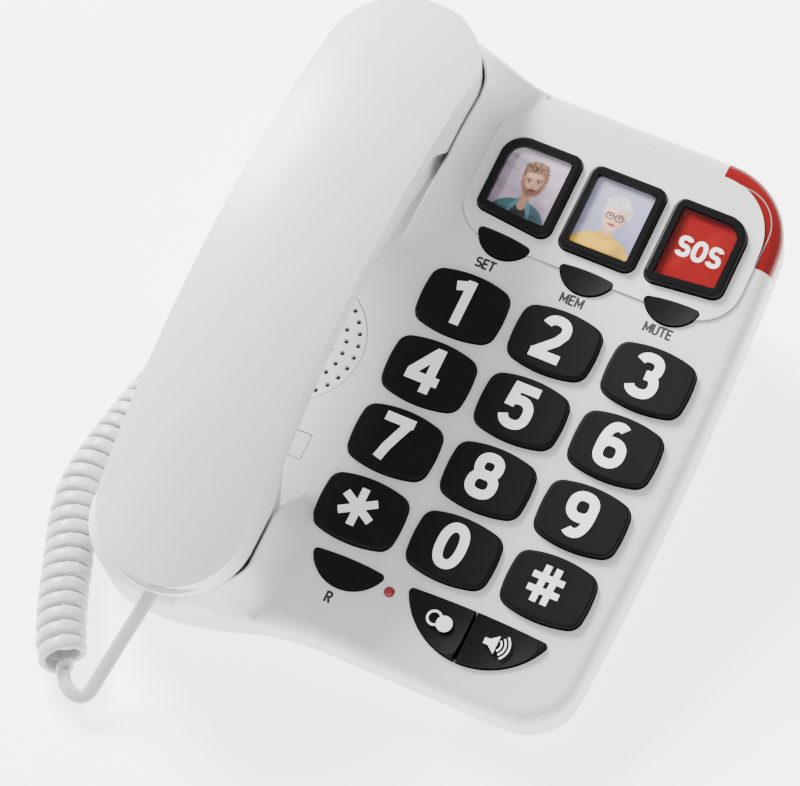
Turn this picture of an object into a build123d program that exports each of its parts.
from build123d import *
import os
from math import cos, pi, radians, sin, sqrt, tan

# A corded desk telephone with big buttons. Millimetres and degrees.
# Deck parts are drawn on the sloping deck: x to the right, y up the slope, z out of the deck, with
# the centre of key 1 as origin. on_deck() moves them to their place over the table (z = 0).

DECK_SLOPE = 14.5
DECK_ORIGIN = (-5.5, 25.78, 48.6)
DECK_PLACE = Location(DECK_ORIGIN, (DECK_SLOPE, 0, 0))

# Base shells
SKIRT = 14.5
WALL = 2.5
EDGE_ROUND = 4.5
LEFT_X, BACK_Y, FRONT_Y, CRADLE_FRONT_Y = -76.0, 78.5, -116.5, -126.5
RIGHT_FRONT_X, RIGHT_WIDEST_X, RIGHT_BACK_X = 84.5, 87.0, 82.6
PANEL_STEP = 0.8
TRAY_TOP_Z = -11.5
TRAY_WALL = 2.3
TRAY_FLOOR_Z = 2.0
SHELL_GAP = 0.3

# Keys
PITCH_X, PITCH_Y = 32.0, 24.74
KEY_WIDTH, KEY_HEIGHT = 27.6, 21.4
KEY_PROUD = 2.5
KEY_FOOT = -6.0
KEY_GAP = 0.4
FLANGE_TOP, FLANGE_THICK, FLANGE_OUT = -2.9, 1.2, 1.1
DOME_TOP, MAT_TOP, MAT_THICK, BOARD_THICK = -7.9, -9.2, 1.0, 1.6
INSERT_Z, WINDOW_Z = 0.8, 1.2
DIGIT_KEYS = ["1", "2", "3", "4", "5", "6", "7", "8", "9", "star", "0", "hash"]

# Handset
HANDSET_X, HANDSET_Y = -44.0, -23.65
HANDSET_LENGTH, HANDSET_WIDTH = 209.5, 48.8
ARCH_TOP, ARCH_RADIUS, CROWN = 56.5, 220.0, 4.5
PARTING_TOP, PARTING_RADIUS = 44.0, 254.0
GRIP_UNDER = 31.5
HANDSET_WALL = 2.2
FACE_Z = 1.6
EAR_Y, MOUTH_Y = 54.1, -97.0

# Cradle
CUP_WALL_X = -16.4
LIP_LEAN = 1.6
CUP_WALL = 3.0
CUP_LEFT_REACH = 20.0
EAR_LIP, MIC_LIP = 22.5, 20.0
POCKET_WIDTH, POCKET_END = 49.2, 99.5
REST_RIB = 1.3

SPEAKER = (-44.0, -28.8)
GRILLE_RADIUS = 22.1
PLUNGER = (-44.0, 41.0)
PLUNGER_RADIUS, PLUNGER_REST = 3.0, 1.3

# Curly cord
CORD_WIDTH, COIL_DIAMETER = 4.5, 16.0
BASE_TAIL = [(-84, 24, 17), (-92.5, 23.4, 15.6), (-94.5, 11, 10), (-90, -4, 8)]
COIL_ROUTE = [
    (-90, -4, 8), (-91.2, -20, 8), (-93.7, -35.4, 8), (-95.8, -61.4, 8), (-92.3, -76.4, 8),
    (-86.3, -89.9, 8), (-80.9, -103.5, 8), (-74.5, -116.4, 8), (-69.8, -123.6, 8),
]
HANDSET_TAIL = [
    (-69.45, -124.15, 8), (-65.0, -131, 7.5), (-57.8, -131.5, 6.5), (-56.5, -122.5, 11),
    (-50.6, -101.5, 27.8), (-49.53, -97.0, 31.0),
]

parts = {}


def on_deck(shape):
    return DECK_PLACE * shape


def at(x, y, z=0.0):
    return Location((x, y, z))


def plate(face, low, high):
    """A flat face of the deck plane made solid from height low to height high."""
    return extrude(at(0, 0, low) * face, amount=high - low, dir=(0, 0, 1))


def block(x0, x1, y0, y1, z0, z1):
    return at((x0 + x1) / 2, (y0 + y1) / 2, (z0 + z1) / 2) * Box(x1 - x0, y1 - y0, z1 - z0)


def post(x, y, low, high, radius):
    return at(x, y, (low + high) / 2) * Cylinder(radius, high - low)


def grown(face, amount):
    return offset(face, amount, kind=Kind.ARC)


def round_corner(face, x, y, radius):
    """The face with its corner nearest to (x, y) rounded."""
    corner = face.vertices().sort_by_distance((x, y, 0))[0]
    return fillet(corner, radius)


def round_top(solid, radius):
    return fillet(solid.faces().sort_by(Axis.Z)[-1].edges(), radius)


# ---- the base's outline ----------------------------------------------------------------------

def base_outline():
    """The deck seen square on: bowed right side, and a lobe at front left for the handset."""
    lobe_end, straight_start = -50.0, 6.0
    middle = ((lobe_end + straight_start) / 2, (CRADLE_FRONT_Y + FRONT_Y) / 2)
    lobe = TangentArc((lobe_end, CRADLE_FRONT_Y), middle, tangent=(1, 0))
    sweep_in = TangentArc(middle, (straight_start, FRONT_Y), tangent=lobe % 1)
    front = Line((straight_start, FRONT_Y), (RIGHT_FRONT_X, FRONT_Y))
    right = ThreePointArc((RIGHT_FRONT_X, FRONT_Y), (RIGHT_WIDEST_X, -30), (RIGHT_BACK_X, BACK_Y))
    rest = Polyline(
        (RIGHT_BACK_X, BACK_Y), (LEFT_X, BACK_Y), (LEFT_X, CRADLE_FRONT_Y), (lobe_end, CRADLE_FRONT_Y)
    )
    face = make_face([lobe, sweep_in, front, right, *rest.edges()])
    face = round_corner(face, RIGHT_FRONT_X, FRONT_Y, 18)
    face = round_corner(face, RIGHT_BACK_X, BACK_Y, 26)
    face = round_corner(face, LEFT_X, BACK_Y, 20)
    return round_corner(face, LEFT_X, CRADLE_FRONT_Y, 23)


OUTLINE = base_outline()


# ---- key outlines ----------------------------------------------------------------------------

def barrel(x, y, extra):
    """A number key: all four sides bow outwards, and its corners are round."""
    bow_x, bow_y, corner = 0.35, 1.2, 4.5
    a, b = KEY_WIDTH / 2 - corner, KEY_HEIGHT / 2 - corner
    c, d = a - bow_x, b - bow_y
    sides = [
        ThreePointArc((-c, -d), (0, -b), (c, -d)),
        ThreePointArc((c, -d), (a, 0), (c, d)),
        ThreePointArc((c, d), (0, b), (-c, d)),
        ThreePointArc((-c, d), (-a, 0), (-c, -d)),
    ]
    return at(x, y) * grown(make_face(sides), corner + extra)


def crescent(x, y, half_width, drop, tilt=0.0, corner=1.1):
    """A half-moon key: a nearly straight top edge at y, and a round belly below it."""
    bow = 0.8
    top = ThreePointArc((-half_width, 0), (0, bow), (half_width, 0))
    belly = ThreePointArc((half_width, 0), (0, -drop), (-half_width, 0))
    face = fillet(make_face([top, belly]).vertices(), corner)
    return Location((x, y, 0), (0, 0, tilt)) * face


def four_sided(corners, radii):
    face = make_face(Polyline(*corners, close=True))
    for (x, y), radius in zip(corners, radii):
        face = round_corner(face, x, y, radius)
    return face


def photo_outlines():
    """Three picture keys: the outer two have a big outer top corner and a slanted lower edge."""
    low, dropped, high, small, big = 32.6, 29.8, 60.2, 3.5, 8.0
    left = [(-11, low), (15.3, dropped), (15.3, high), (-11, high)]
    middle = [(18.5, dropped), (44.5, dropped), (44.5, high), (18.5, high)]
    right = [(47.8, dropped), (73.6, low), (73.6, high), (47.8, high)]
    return [
        four_sided(left, [small, small, small, big]),
        four_sided(middle, [small] * 4),
        four_sided(right, [small, small, big, small]),
    ]


def digit_places():
    return {
        name: (PITCH_X * (i % 3), -PITCH_Y * (i // 3)) for i, name in enumerate(DIGIT_KEYS)
    }


def key_outlines(extra):
    """Every key's outline on the deck, by node name, grown by extra all round."""
    outlines = {}
    for number, face in enumerate(photo_outlines(), 1):
        outlines[f"photo_key_{number}_frame"] = face
    outlines["set_key"] = crescent(2.75, 26.1, 9.2, 7.0, tilt=-4.6)
    outlines["memory_key"] = crescent(31.75, 25.0, 9.2, 7.0)
    outlines["mute_key"] = crescent(60.5, 26.1, 9.2, 7.0, tilt=4.6)
    outlines["recall_key"] = crescent(3.85, -90.3, 12.1, 8.9)
    pair = crescent(48.0, -90.3, 23.5, 16.0)
    split_x, half_gap = 47.0, 0.45
    outlines["redial_key"] = pair & at(split_x - half_gap - 50, -90) * Rectangle(100, 60)
    outlines["loudspeaker_key"] = pair & at(split_x + half_gap + 50, -90) * Rectangle(100, 60)
    if extra:
        outlines = {name: grown(face, extra) for name, face in outlines.items()}
    for name, (x, y) in digit_places().items():
        outlines[f"key_{name}"] = barrel(x, y, extra)
    return outlines


KEYS = key_outlines(0.0)
KEY_HOLES = key_outlines(KEY_GAP)
FLANGES = key_outlines(FLANGE_OUT)


# ---- top cover -------------------------------------------------------------------------------

def arc_height(radius, top, along):
    """Height of an arch of that radius, a distance along from its highest point."""
    return top - radius + sqrt(radius**2 - along**2)


def pocket_face(sign):
    """The hollow that one end of the handset sits in; it is open towards the middle."""
    depth = 110.0
    centre_y = HANDSET_Y + sign * (POCKET_END - depth / 2)
    return at(HANDSET_X, centre_y) * RectangleRounded(POCKET_WIDTH, depth, 16)


def cup(side_profile, sign):
    """The wall round one end of the handset. side_profile is its outline seen from the side."""
    side = make_face(Polyline(*[(0, y, z) for y, z in side_profile], close=True))
    body = extrude(side, amount=CUP_WALL_X - LEFT_X, dir=(1, 0, 0))
    body = at(LEFT_X, 0) * body
    lip_x = CUP_WALL_X - LIP_LEAN
    section = [(LEFT_X, 0, -3), (CUP_WALL_X, 0, -3), (lip_x, 0, 30), (LEFT_X, 0, 30)]
    lean = extrude(make_face(Polyline(*section, close=True)), amount=150, dir=(0, 1, 0), both=True)
    wall = grown(pocket_face(sign), CUP_WALL) + at(LEFT_X, 0) * Rectangle(2 * CUP_LEFT_REACH, 400)
    body = body & lean & plate(OUTLINE & wall, -3, 30)
    body -= plate(pocket_face(sign), 0, 40)
    body -= block(*NOTCH_X, -140, -118, 6.5, 30)
    return on_deck(body - blank())


def ear_cup():
    return cup([(12, -3), (12, 1), (30, EAR_LIP), (90, EAR_LIP), (90, -3)], 1)


def mouth_cup():
    return cup([(-74, -3), (-74, 1), (-90, MIC_LIP), (-140, MIC_LIP), (-140, -3)], -1)


def grille_holes():
    rings = [(3.6, 6), (7.5, 12), (11.5, 18), (15.5, 24), (19.5, 30)]
    spots = [(0.0, 0.0)]
    for radius, count in rings:
        for i in range(count):
            turn = 2 * pi * i / count
            spots.append((radius * cos(turn), radius * sin(turn)))
    return Sketch() + [at(SPEAKER[0] + x, SPEAKER[1] + y) * Circle(0.8) for x, y in spots]


HOOK_TAB = (-62.5, -25.0, -66.3, -57.3, 1.6)
LAMP_START = (57.6, 47.5)
LAMP_WIDTH, LAMP_DEPTH = 6.0, 9.0
LED_SPOT = (19.2, -94.1)
BOSSES = [(-60, -95), (-46, 66), (72, -99.5), (50, 66.2)]
BOARD_POSTS = [(16, -12.37), (48, -12.37), (16, -61.84), (48, -61.84)]
BOARD_TOP = MAT_TOP - MAT_THICK
LINE_SOCKET_X, LINE_SOCKET_Z = -8.0, -7.0
SWITCH_X, SWITCH_Z = 30.0, -7.2
NOTCH_X = (-49.0, -39.0)


def lamp_zone():
    """The corner strip that the red lamp lens fills, down to the lens' depth."""
    corner = block(LAMP_START[0], 100, LAMP_START[1], 100, -LAMP_DEPTH, 5)
    return corner - plate(grown(OUTLINE, -LAMP_WIDTH), -LAMP_DEPTH - 1, 6)


def blank():
    return round_top(plate(OUTLINE, -SKIRT, 0), EDGE_ROUND)


def rest_ribs():
    """Two ribs in each cup, which the handset's end blocks rest on."""
    return [block(-58, -30, y - 1.5, y + 1.5, -1, REST_RIB) for y in (50, 68, -92, -112)]


def boss_place(x, y):
    """Where an upright screw below the deck point (x, y) stands on the table."""
    return x + DECK_ORIGIN[0], y * cos(radians(DECK_SLOPE)) + DECK_ORIGIN[1]


def boss(x, y):
    """A screw post, upright over the table, from the tray's floor up to the deck's underside."""
    upright = post(x, y, TRAY_FLOOR_Z + TRAY_WALL + 0.1, 80, 3.2) - post(x, y, 0, 16, 1.35)
    under_deck = on_deck(block(-90, 95, -140, 95, -80, -WALL + 0.5))
    return upright & under_deck


def top_cover():
    panel = at(31.6, 47.6) * RectangleRounded(94.6, 47.8, 13.5)
    cover = blank() + plate(panel, -1, PANEL_STEP)
    cover -= plate(grown(OUTLINE, -WALL), -SKIRT - 1, -WALL)
    cover += rest_ribs()
    cover += [post(x, y, BOARD_TOP, -WALL + 0.5, 2.0) for x, y in BOARD_POSTS]
    cover -= lamp_zone()
    cover -= [plate(face, -WALL - 1, 8) for face in KEY_HOLES.values()]
    cover -= block(46, 48, -105.5, -90.5, -WALL - 1, 8)
    cover -= plate(grille_holes(), -WALL - 1, 1)
    cover -= post(*SPEAKER, -0.5, 5, GRILLE_RADIUS)
    cover -= post(*PLUNGER, -WALL - 1, 5, PLUNGER_RADIUS + 0.35)
    cover -= post(*LED_SPOT, -WALL - 1, 5, 1.75)
    x0, x1, y0, y1, deep = HOOK_TAB
    cover -= block(x0, x1, y0, y1, -deep, 3)
    socket_z = LINE_SOCKET_Z
    cover -= block(LINE_SOCKET_X - 6, LINE_SOCKET_X + 6, 70, 85, socket_z - 4.4, socket_z + 4.4)
    cover -= block(SWITCH_X - 7, SWITCH_X + 7, 70, 85, SWITCH_Z - 1.6, SWITCH_Z + 1.6)
    cover = on_deck(cover)
    return cover + [boss(*boss_place(*spot)) for spot in BOSSES]


# ---- tray, feet and screws ---------------------------------------------------------------------

SOCKET_SPOT = (-70.0, 24.0, 17.0)


def cone_of_outline(inset, far_scale):
    """The outline drawn together towards a smaller one far below: the tray's leaning walls."""
    centre, far_z = (4.0, 10.0), -85.0
    near_face = at(0, 0, TRAY_TOP_Z) * grown(OUTLINE, -inset)
    small = scale(at(-centre[0], -centre[1]) * grown(OUTLINE, -inset), by=far_scale)
    far_face = at(centre[0], centre[1], far_z) * small
    return loft([near_face.face(), far_face.face()], ruled=True)


def bottom_cover():
    far_scale = 0.68
    inset = WALL + SHELL_GAP
    above_table = block(-200, 200, -200, 200, TRAY_FLOOR_Z, 200)
    above_floor = block(-200, 200, -200, 200, TRAY_FLOOR_Z + TRAY_WALL, 200)
    outer = on_deck(cone_of_outline(inset, far_scale)) & above_table
    inner = on_deck(cone_of_outline(inset + TRAY_WALL, far_scale)) & above_floor
    tray = outer - inner
    for x, y in (boss_place(*spot) for spot in BOSSES):
        tray -= post(x, y, 0, 10, 1.6)
        tray -= post(x, y, 0, TRAY_FLOOR_Z + 1.3, 3.1)
        tray -= post(x, y, TRAY_FLOOR_Z + TRAY_WALL, 90, 3.5)
    sx, sy, sz = SOCKET_SPOT
    return tray - block(sx - 20, sx + 8, sy - 4.4, sy + 4.4, sz - 4.4, sz + 4.4)


def rubber_feet():
    spots = [(-54, -80), (-50, 74), (54, -74), (50, 74)]
    discs = [post(x, y, 0, TRAY_FLOOR_Z, 6.5) for x, y in spots]
    return Compound([chamfer(disc.edges().sort_by(Axis.Z)[0], 0.5) for disc in discs])


def cover_screws():
    screws = []
    for x, y in (boss_place(*spot) for spot in BOSSES):
        head_top = TRAY_FLOOR_Z + 1.3
        screw = post(x, y, head_top - 1.1, head_top, 2.8) + post(x, y, head_top, 13, 1.25)
        slot = block(x - 1.8, x + 1.8, y - 0.3, y + 0.3, 0, head_top - 0.6)
        cross = block(x - 0.3, x + 0.3, y - 1.8, y + 1.8, 0, head_top - 0.6)
        screws.append(screw - slot - cross)
    return Compound([s.solid() for s in screws])


# ---- lamp, LED, boards and works -----------------------------------------------------------------

def lamp_lens():
    lens = blank() & lamp_zone()
    channel = plate(grown(OUTLINE, -1.5) - grown(OUTLINE, -4.6), -LAMP_DEPTH - 1, -2.4)
    trimmed = block(LAMP_START[0] + 1.2, 100, LAMP_START[1] + 1.2, 100, -20, 5)
    return lens - (channel & trimmed)


def lamp_leds():
    """A bent strip of circuit board under the lens with four small lamps on it."""
    strip = plate(grown(OUTLINE, -1.8) - grown(OUTLINE, -4.3), -8.6, -7.6)
    strip = strip & block(LAMP_START[0] + 2, 100, LAMP_START[1] + 2, 100, -20, 5)
    corner_x, corner_y, middle_radius = 59.0, 52.5, 22.9
    for turn in (3, 40, 58, 77):
        x = corner_x + middle_radius * cos(radians(turn))
        y = corner_y + middle_radius * sin(radians(turn))
        strip += Location((x, y, -6.3), (0, 0, turn)) * Box(1.6, 2.2, 2.8)
    return strip


def boss_clearance():
    """Room round the upright screw posts, which lean against the deck's own direction."""
    return [DECK_PLACE.inverse() * post(*boss_place(*spot), 0, 90, 4.2) for spot in BOSSES]


def key_mat():
    """Rubber sheet with a dome under every key."""
    mat = block(-12.5, 73.5, -106, 61, MAT_TOP - MAT_THICK, MAT_TOP) - boss_clearance()
    mat -= [post(x, y, -12, -8, 2.4) for x, y in BOARD_POSTS]
    for face in KEYS.values():
        spot = face.center()
        mat += post(spot.X, spot.Y, MAT_TOP - 0.2, DOME_TOP, 3.4)
    return mat - post(*LED_SPOT, -12, 5, 2.2)


def key_board():
    return block(-13.5, 74.5, -107, 62, BOARD_TOP - BOARD_THICK, BOARD_TOP) - boss_clearance()


def in_use_led():
    x, y = LED_SPOT
    lens = post(x, y, BOARD_TOP, 0, 1.6) + at(x, y, 0) * Sphere(1.6)
    return lens - block(x - 3, x + 3, y - 3, y + 3, -30, BOARD_TOP)


def main_board():
    top = -21.0
    board = block(-8, 70, -8, 58, top - 1.6, top) - boss_clearance()
    board += block(-2, 20, 40, 54, top - 0.1, top + 6)
    board += block(34, 52, 22, 38, top - 0.1, top + 3)
    board += block(58, 66, 6, 30, top - 0.1, BOARD_TOP - BOARD_THICK)
    return board + [post(26 + 9 * i, 48, top - 0.1, top + 6.5, 3.2) for i in range(3)]


def base_speaker():
    x, y = SPEAKER
    rim = post(x, y, -4.2, -WALL, 20.5)
    basket = at(x, y, -8.1) * Cone(10, 19, 7.8)
    magnet = post(x, y, -17.5, -11.9, 10.5)
    return rim + basket + magnet


def base_microphone():
    return post(30, -111.2, -9.5, -WALL, 2.4)


def hook_tab():
    x0, x1, y0, y1, deep = HOOK_TAB
    gap, lip = 0.35, 0.9
    tab = block(x0 + gap, x1 - gap, y0 + gap, y1 - gap, -deep, -0.15)
    return tab - block(x0 + 8, x1 - 8, y1 - gap - lip, y1, -0.8, 0)


def hook_plunger():
    x, y = PLUNGER
    button = round_top(post(x, y, -14.0, PLUNGER_REST, PLUNGER_RADIUS), 1.0)
    return button + post(x, y, -8.4, -7.0, 4.6)


def hook_spring():
    x, y = PLUNGER
    coils = [at(x, y, -8.95 - 1.15 * i) * Torus(3.85, 0.5) for i in range(5)]
    return Compound([c.solid() for c in coils])


def hook_switch():
    x, y = PLUNGER
    body = block(x - 8, x + 8, y - 5, y + 5, -22.5, -14.1)
    arms = [block(x + side - 1.4, x + side + 1.4, y - 5, y + 5, -14.2, -WALL) for side in (-6.6, 6.6)]
    return body + arms


def line_socket():
    x, z = LINE_SOCKET_X, LINE_SOCKET_Z
    front = BACK_Y - 0.9
    body = block(x - 5.8, x + 5.8, front - 13, front, z - 4.2, z + 4.2)
    return body - block(x - 4.9, x + 4.9, front - 11, BACK_Y + 1, z - 3.6, z + 3.4)


def handset_cord_socket():
    """The small socket in the tray's left wall; its plug stays in it."""
    x, y, z = SOCKET_SPOT
    body = block(x - 5, x + 8, y - 4.2, y + 4.2, z - 4.2, z + 4.2)
    return body - block(x - 6, x + 6, y - 3.5, y + 3.5, z - 3.3, z + 3.3)


def ringer_switch():
    x, z = SWITCH_X, SWITCH_Z
    body = block(x - 9, x + 9, 66, BACK_Y - WALL, z - 3, z + 3)
    return body - block(x - 7, x + 7, 68, BACK_Y + 1, z - 1.3, z + 1.3)


def ringer_knob():
    x, z = SWITCH_X - 4.0, SWITCH_Z
    knob = block(x - 2, x + 2, 69, BACK_Y + 1.0, z - 1.0, z + 1.0)
    for offset in (-1, 0, 1):
        left = x + offset - 0.2
        knob -= block(left, left + 0.4, BACK_Y + 0.6, BACK_Y + 2, z - 2, z + 2)
    return knob


# ---- keys --------------------------------------------------------------------------------------

def flange(name):
    return plate(FLANGES[name], FLANGE_TOP - FLANGE_THICK, FLANGE_TOP)


def digit_key(name):
    return round_top(plate(KEYS[name], KEY_FOOT, KEY_PROUD), 0.9) + flange(name)


def crescent_key(name):
    """A dished key: a wide shallow hollow across its top."""
    face, proud = KEYS[name], 1.8
    spot = face.center()
    body = round_top(plate(face, KEY_FOOT, proud), 0.6)
    return body - at(spot.X, spot.Y + 1, proud + 58.8) * Sphere(60)


def photo_frame(name):
    top = KEY_PROUD + 0.6
    frame = round_top(plate(KEYS[name], KEY_FOOT, top), 1.0)
    return frame + flange(name) - plate(grown(KEYS[name], -2.9), INSERT_Z, top + 1)


def photo_insert(name):
    return plate(grown(KEYS[name], -3.0), INSERT_Z, WINDOW_Z)


def photo_window(name):
    return plate(grown(KEYS[name], -3.0), WINDOW_Z, WINDOW_Z + 1.4)


# ---- handset -----------------------------------------------------------------------------------

def handset_plan(inset):
    shape = SlotOverall(HANDSET_LENGTH - 2 * inset, HANDSET_WIDTH - 2 * inset, rotation=90)
    return at(HANDSET_X, HANDSET_Y) * shape


def under_arch(radius, top, reach=150.0):
    """Everything under a barrel arch that runs the length of the handset."""
    axis = Location((HANDSET_X, HANDSET_Y, top - radius), (0, 90, 0))
    return axis * Cylinder(radius, reach)


def crowned_arch(inset):
    """The handset's top: an arch along its length, crowned from side to side."""
    half = 40.0
    edge_drop = CROWN * (half / (HANDSET_WIDTH / 2)) ** 2
    outer = ARCH_RADIUS - inset
    bow = ThreePointArc((-half, outer - edge_drop, 0), (0, outer, 0), (half, outer - edge_drop, 0))
    low = outer - 90
    side = outer - edge_drop
    rest = Polyline((half, side, 0), (half, low, 0), (-half, low, 0), (-half, side, 0))
    ring = revolve(make_face([bow, *rest.edges()]), axis=Axis.X, revolution_arc=360)
    return at(HANDSET_X, HANDSET_Y, ARCH_TOP - ARCH_RADIUS) * ring


def side_profile(inset):
    """The handset from the side, apart from its top: two end blocks and the arched grip."""
    nose, nose_z, end, foot, inner = 104.75 - inset, 31.0, 96.5 - inset, 94.5 - inset, 61.0 + inset
    low, grip, knee = FACE_Z + inset, GRIP_UNDER + inset, 52.0 + inset
    knee_z = 21.0 + inset
    right = [(knee, knee_z), (inner, low), (foot, low), (end, 24.0), (nose, nose_z), (nose, 70)]
    left = [(-a, z) for a, z in reversed(right)]
    arch = ThreePointArc((0, -knee, knee_z), (0, 0, grip), (0, knee, knee_z))
    walls = Polyline(*[(0, a, z) for a, z in right + left])
    face = make_face([arch, *walls.edges()])
    return at(HANDSET_X, HANDSET_Y) * extrude(face, amount=60, dir=(1, 0, 0), both=True)


SCREW_YS = (HANDSET_Y - 32, HANDSET_Y + 32)


def grip_under(y):
    """Height of the grip's underside at y, on its arch through the two knees."""
    knee, knee_z = 52.0, 21.0
    rise = GRIP_UNDER - knee_z
    radius = (knee**2 + rise**2) / (2 * rise)
    return arc_height(radius, GRIP_UNDER, y - HANDSET_Y)


def outer_shell():
    wall = HANDSET_WALL
    above = under_arch(PARTING_RADIUS, PARTING_TOP, 90)
    body = plate(handset_plan(0), 0, 70) & crowned_arch(0) & side_profile(0)
    hollow = plate(handset_plan(wall), 0, 70) & crowned_arch(wall)
    shell = body - hollow - above
    for y in SCREW_YS:
        low, high = grip_under(y) + 3.2, arc_height(ARCH_RADIUS, ARCH_TOP, y - HANDSET_Y) - 1
        shell += post(HANDSET_X, y, low, high, 3.0) - post(HANDSET_X, y, low - 1, high - 4, 1.35)
    return shell


def handset_jack_place():
    return HANDSET_X, HANDSET_Y - 94.0, 14.0


def inner_shell():
    tuck, wall = 3.4, 2.0
    below = under_arch(PARTING_RADIUS, PARTING_TOP, 90)
    body = plate(handset_plan(tuck), 0, 70) & side_profile(0) & below
    rim_arch = under_arch(PARTING_RADIUS + 2, PARTING_TOP + 2, 90)
    rim = plate(handset_plan(HANDSET_WALL + 0.1), 0, 70) & rim_arch & crowned_arch(HANDSET_WALL + 0.5)
    rim -= under_arch(PARTING_RADIUS, PARTING_TOP, 90)
    hollow = plate(handset_plan(tuck + wall), 0, 70) & side_profile(wall)
    shell = body + rim - hollow
    for y in SCREW_YS:
        shell -= post(HANDSET_X, y, 0, 40, 1.6) + post(HANDSET_X, y, 0, grip_under(y) + 0.9, 2.9)
    shell -= [post(HANDSET_X + x, EAR_Y + y, FACE_Z - 1, FACE_Z + 4, 0.9) for x, y in sound_holes(5, 9)]
    shell -= [post(HANDSET_X + x, MOUTH_Y + y, FACE_Z - 1, FACE_Z + 4, 0.7) for x, y in sound_holes(2.8)]
    x, y, z = handset_jack_place()
    return shell - block(x - 4.6, x + 4.6, y - 10, y + 8, z - 4.2, z + 4.2)


def sound_holes(*radii):
    holes = [(0.0, 0.0)]
    for radius in radii:
        count = round(2 * pi * radius / 4.4)
        holes += [(radius * cos(2 * pi * i / count), radius * sin(2 * pi * i / count)) for i in range(count)]
    return holes


def receiver():
    low = FACE_Z + 2.1
    capsule = post(HANDSET_X, EAR_Y, low, low + 7, 14.0) + post(HANDSET_X, EAR_Y, low + 6.9, low + 9, 9.0)
    return chamfer(capsule.edges().group_by(Axis.Z)[-1], 0.6)


def handset_microphone():
    low = FACE_Z + 2.1
    return post(HANDSET_X, MOUTH_Y, low, low + 5, 4.8)


def handset_jack():
    x, y, z = handset_jack_place()
    body = block(x - 4.4, x + 4.4, y - 1.2, y + 7.6, z - 4.0, z + 4.0)
    return body - block(x - 3.5, x + 3.5, y - 3, y + 6, z - 3.2, z + 3.2)


def handset_screws():
    """Two screws up through the grip's underside into the outer shell."""
    screws = []
    for y in SCREW_YS:
        head_top = grip_under(y) + 0.9
        screw = post(HANDSET_X, y, head_top - 1.0, head_top, 2.6)
        screw += post(HANDSET_X, y, head_top, head_top + 9, 1.25)
        screw -= block(HANDSET_X - 1.6, HANDSET_X + 1.6, y - 0.3, y + 0.3, 0, head_top - 0.5)
        screws.append(screw.solid())
    return Compound(screws)


# ---- cord --------------------------------------------------------------------------------------

def route_radii(points):
    """For each corner of a route, the largest arc that its two runs have room for."""
    radii = []
    for before, here, after in zip(points, points[1:], points[2:]):
        arriving, leaving = Vector(here) - Vector(before), Vector(after) - Vector(here)
        turn = radians(arriving.get_angle(leaving))
        radii.append(0.45 * min(arriving.length, leaving.length) / tan(turn / 2))
    return radii


def cord_tube(name, points, diameter):
    radii = route_radii(points)
    path = FilletPolyline(*points, radius=radii)
    tube = sweep(Plane(origin=path @ 0, z_dir=path % 0) * Circle(diameter / 2), path=path)
    ratio = tube.volume / (path.length * pi * diameter**2 / 4)
    shown = ", ".join(f"{r:.1f}" for r in radii)
    print(f"{name}: length {path.length:.1f}, radii {shown}, volume ratio {ratio:.4f}")
    return tube


def cord_plug(tip, back, width, height):
    """A small modular plug between two points, with a tapered sleeve at its back."""
    axis = Vector(back) - Vector(tip)
    frame = Plane(origin=tip, x_dir=(axis.cross(Vector(0, 0, 1))), z_dir=axis)
    body_length = axis.length * 0.7
    body = frame * extrude(Rectangle(width, height), amount=body_length)
    sleeve_base = frame.offset(body_length) * Rectangle(width * 0.9, height * 0.9)
    sleeve_end = frame.offset(axis.length) * Rectangle(CORD_WIDTH + 0.8, CORD_WIDTH + 0.2)
    return body + loft([sleeve_base.face(), sleeve_end.face()])


def base_plug():
    x, y, z = SOCKET_SPOT
    return cord_plug((x + 5.5, y, z), BASE_TAIL[0], 6.6, 6.2)


def handset_plug():
    x, y, z = handset_jack_place()
    tip = on_deck(at(x, y + 5.5, z)).position
    return cord_plug(tuple(tip), HANDSET_TAIL[-1], 6.6, 6.0)


# ---- everything --------------------------------------------------------------------------------

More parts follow.
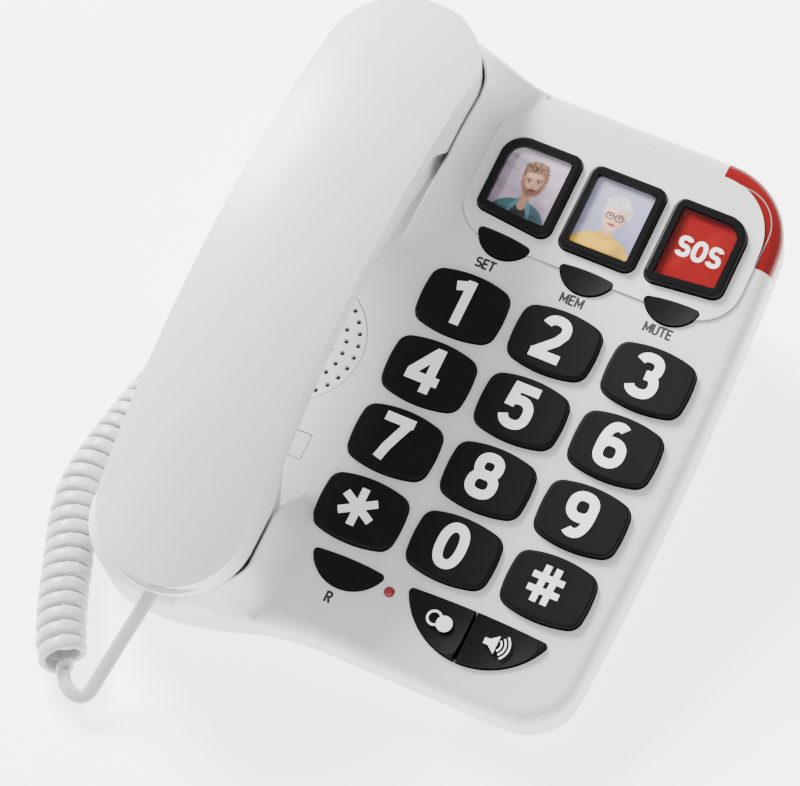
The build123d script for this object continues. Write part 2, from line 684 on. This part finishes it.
def build():
    parts["top_cover"] = top_cover()
    parts["ear_cup"] = ear_cup()
    parts["mouth_cup"] = mouth_cup()
    parts["bottom_cover"] = bottom_cover()
    parts["rubber_feet"] = rubber_feet()
    parts["cover_screws"] = cover_screws()
    deck_parts = {
        "ring_lamp_lens": lamp_lens(),
        "ring_lamp_leds": lamp_leds(),
        "in_use_led": in_use_led(),
        "key_mat": key_mat(),
        "key_board": key_board(),
        "main_board": main_board(),
        "base_speaker": base_speaker(),
        "base_microphone": base_microphone(),
        "wall_hook_tab": hook_tab(),
        "hook_plunger": hook_plunger(),
        "hook_spring": hook_spring(),
        "hook_switch": hook_switch(),
        "line_socket": line_socket(),
        "ringer_switch": ringer_switch(),
        "ringer_knob": ringer_knob(),
        "handset_outer_shell": outer_shell(),
        "handset_inner_shell": inner_shell(),
        "receiver_capsule": receiver(),
        "handset_microphone": handset_microphone(),
        "handset_jack": handset_jack(),
        "handset_screws": handset_screws(),
    }
    for name in KEYS:
        if name.startswith("key_"):
            deck_parts[name] = digit_key(name)
        elif name.startswith("photo_"):
            deck_parts[name] = photo_frame(name)
            deck_parts[name.replace("frame", "insert")] = photo_insert(name)
            deck_parts[name.replace("frame", "window")] = photo_window(name)
        else:
            deck_parts[name] = crescent_key(name)
    parts.update({name: on_deck(shape) for name, shape in deck_parts.items()})
    parts["handset_cord_socket"] = handset_cord_socket()
    parts["cord_base_plug"] = base_plug()
    parts["cord_base_tail"] = cord_tube("cord_base_tail", BASE_TAIL, CORD_WIDTH)
    parts["cord_coil"] = cord_tube("cord_coil", COIL_ROUTE, COIL_DIAMETER)
    parts["cord_handset_tail"] = cord_tube("cord_handset_tail", HANDSET_TAIL, CORD_WIDTH)
    parts["cord_handset_plug"] = handset_plug()


build()
os.makedirs("parts", exist_ok=True)
for node, shape in parts.items():
    export_step(shape, f"parts/{node}.step")

own = Compound([shape for node, shape in parts.items() if not node.startswith("cord_")])
box = own.bounding_box()
print("own box", box.min, box.max, "nodes", len(parts))
